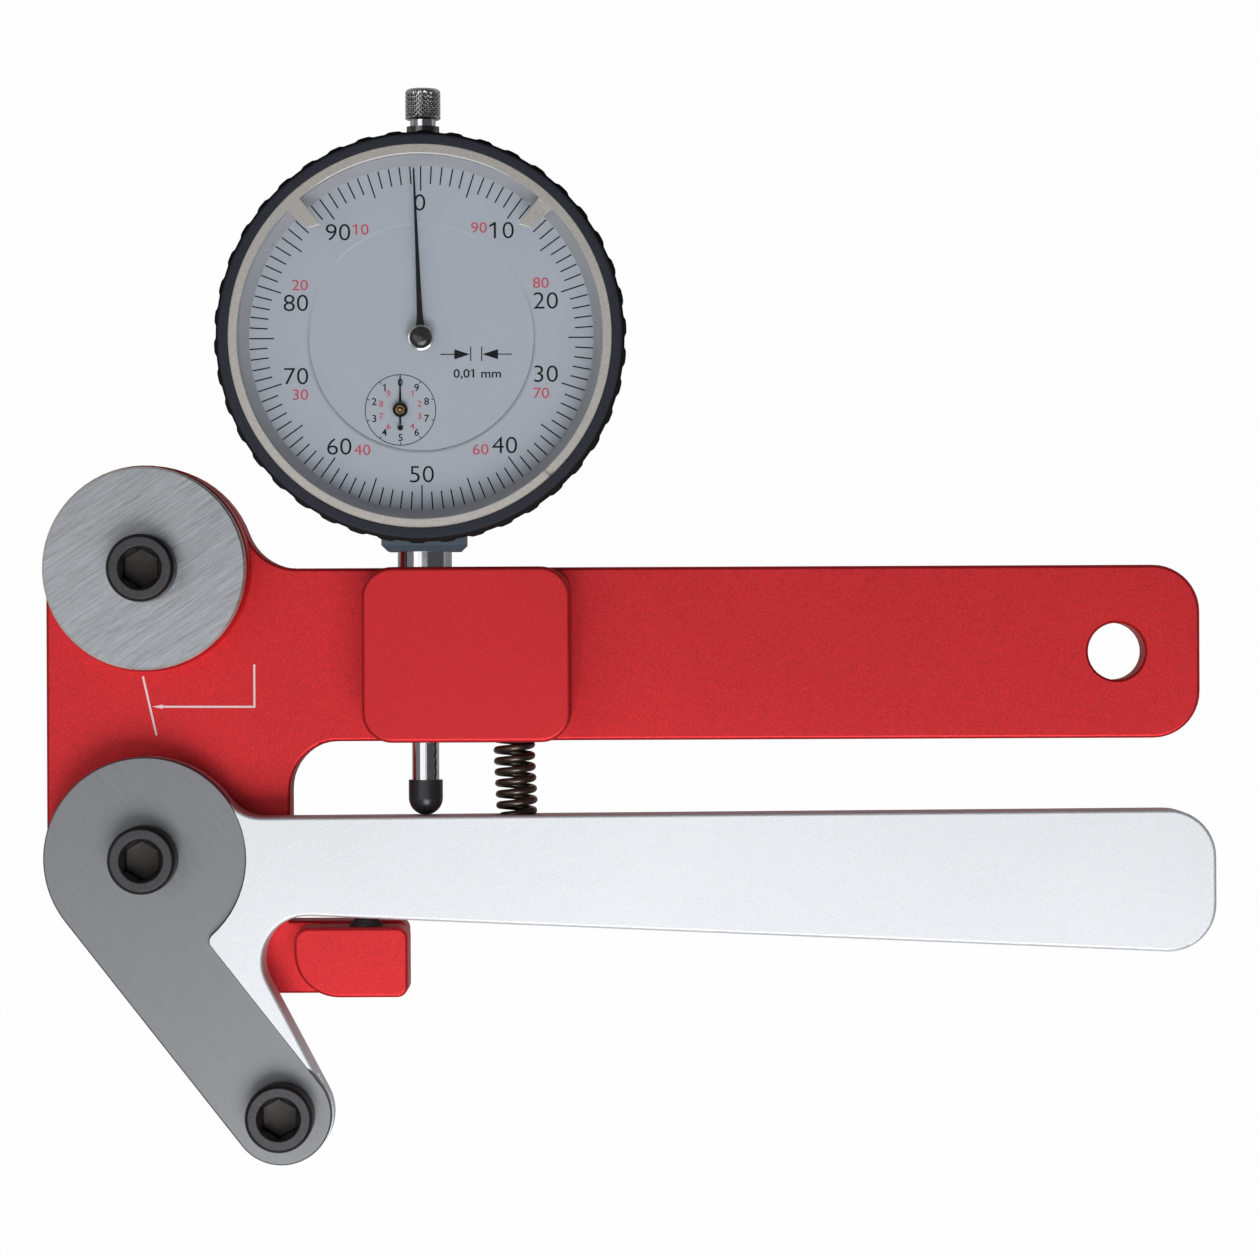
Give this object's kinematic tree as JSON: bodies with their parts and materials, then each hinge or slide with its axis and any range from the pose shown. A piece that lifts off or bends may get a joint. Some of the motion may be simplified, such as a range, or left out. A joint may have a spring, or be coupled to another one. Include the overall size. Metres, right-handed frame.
{
  "type": "spoke tension meter",
  "caption": "Hand-held wheel spoke tension meter: red frame plate, silver squeeze lever, three spoke posts on ground steel, and a ribbed dial gauge driven by the lever.",
  "frame": {"origin": "the lever's pivot axis at the flat back face of the frame plate, which lies on the surface", "axes": "+X along the handles away from the spoke posts, +Y from the lever towards the dial gauge, +Z out of the back face towards the dial's front"},
  "size_m": [0.1731, 0.159, 0.0276],
  "materials": {
    "red_anodised": "bead-blasted red anodised aluminium",
    "bare_aluminium": "bead-blasted natural anodised aluminium",
    "ground_steel_light": "surface-ground steel",
    "ground_steel_dark": "hardened and surface-ground steel",
    "black_oxide": "black oxide steel",
    "spring_steel": "dark oiled spring wire",
    "hard_steel": "turned steel",
    "bronze": "turned bronze",
    "chrome": "bright chromed steel",
    "case_enamel": "dark blue-grey stove enamel",
    "bezel_black": "moulded blue-black plastic",
    "cap_black": "black moulded cap",
    "marker_silver": "satin champagne-silver sheet",
    "dial_grey": "satin blue-grey dial paint",
    "retainer_grey": "grey moulded ring",
    "clear": "clear window",
    "brass": "machined brass",
    "hand_black": "black lacquered hand"
  },
  "bodies": {
    "frame": {"frame_plate": "red_anodised", "fixed_disc": "ground_steel_light", "upper_post_screw": "black_oxide", "pivot_post_screw": "black_oxide", "pivot_sleeve": "hard_steel", "pivot_washer": "hard_steel", "stop_screw": "black_oxide", "stem_clamp_screw": "black_oxide", "return_spring": "spring_steel", "gauge_case": "case_enamel", "back_cover": "case_enamel", "cover_screws": "hard_steel", "gauge_stem": "chrome", "lower_bush": "bronze", "upper_bush": "chrome", "inner_dial": "dial_grey", "guide_rail": "brass", "spindle_spring": "hard_steel", "spring_post": "hard_steel", "main_plate": "brass", "plate_screws": "hard_steel", "front_bridge": "brass", "front_pillars": "brass", "rear_bridge": "brass", "rear_pillars": "brass", "hairspring_stud": "hard_steel"},
    "squeeze_lever": {"lever": "bare_aluminium", "wear_plate": "ground_steel_dark", "lower_post_screw": "black_oxide", "pivot_bush": "bronze"},
    "plunger": {"spindle": "chrome", "contact_cap": "cap_black", "lifting_knob": "chrome", "guide_pin": "hard_steel"},
    "counter_train": {"counter_arbor": "brass", "counter_wheel": "brass", "counter_hand": "hand_black"},
    "centre_train": {"centre_arbor": "brass", "main_hand": "hand_black"},
    "takeup_train": {"takeup_arbor": "brass", "takeup_wheel": "brass", "hairspring": "brass"},
    "bezel_group": {"bezel": "bezel_black", "bezel_wire": "hard_steel", "dial_ring": "dial_grey", "dial_retainer": "retainer_grey", "crystal": "clear"},
    "lower_marker": {"lower_tolerance_ring": "marker_silver"},
    "upper_marker": {"upper_tolerance_ring": "marker_silver"}
  },
  "joints": [
    {"name": "lever_pivot", "type": "hinge", "parent": "frame", "child": "squeeze_lever", "pos_m": [0, 0, 0.013], "axis": [0, 0, 1], "range_deg": [0, 7], "stiffness_Nm_per_rad": 2, "springref_deg": -8.59, "deforming": ["return_spring"]},
    {"name": "spindle_slide", "type": "slide", "parent": "frame", "child": "plunger", "axis": [0, 1, 0], "range_m": [0, 0.0053], "deforming": ["spindle_spring"]},
    {"name": "counter_spin", "type": "hinge", "parent": "frame", "child": "counter_train", "pos_m": [0.0382, 0.06571, 0.013], "axis": [0, 0, 1], "range_deg": [0, 200]},
    {"name": "pointer_spin", "type": "hinge", "parent": "frame", "child": "centre_train", "pos_m": [0.0413, 0.0762, 0.013], "axis": [0, 0, 1], "range_deg": [-2000, 0]},
    {"name": "takeup_spin", "type": "hinge", "parent": "frame", "child": "takeup_train", "pos_m": [0.04677, 0.08568, 0.013], "axis": [0, 0, 1], "range_deg": [0, 200], "deforming": ["hairspring"]},
    {"name": "bezel_turn", "type": "hinge", "parent": "frame", "child": "bezel_group", "pos_m": [0.0413, 0.0762, 0.021], "axis": [0, 0, 1], "continuous": true},
    {"name": "lower_marker_turn", "type": "hinge", "parent": "bezel_group", "child": "lower_marker", "pos_m": [0.0413, 0.0762, 0.026], "axis": [0, 0, 1], "continuous": true},
    {"name": "upper_marker_turn", "type": "hinge", "parent": "bezel_group", "child": "upper_marker", "pos_m": [0.0413, 0.0762, 0.026], "axis": [0, 0, 1], "continuous": true}
  ],
  "couplings": [
    {"joint": "spindle_slide", "follows": "lever_pivot", "m_per_rad": 0.0421},
    {"joint": "counter_spin", "follows": "lever_pivot", "ratio": 26.452},
    {"joint": "pointer_spin", "follows": "lever_pivot", "ratio": -264.52},
    {"joint": "takeup_spin", "follows": "lever_pivot", "ratio": 26.452}
  ]
}
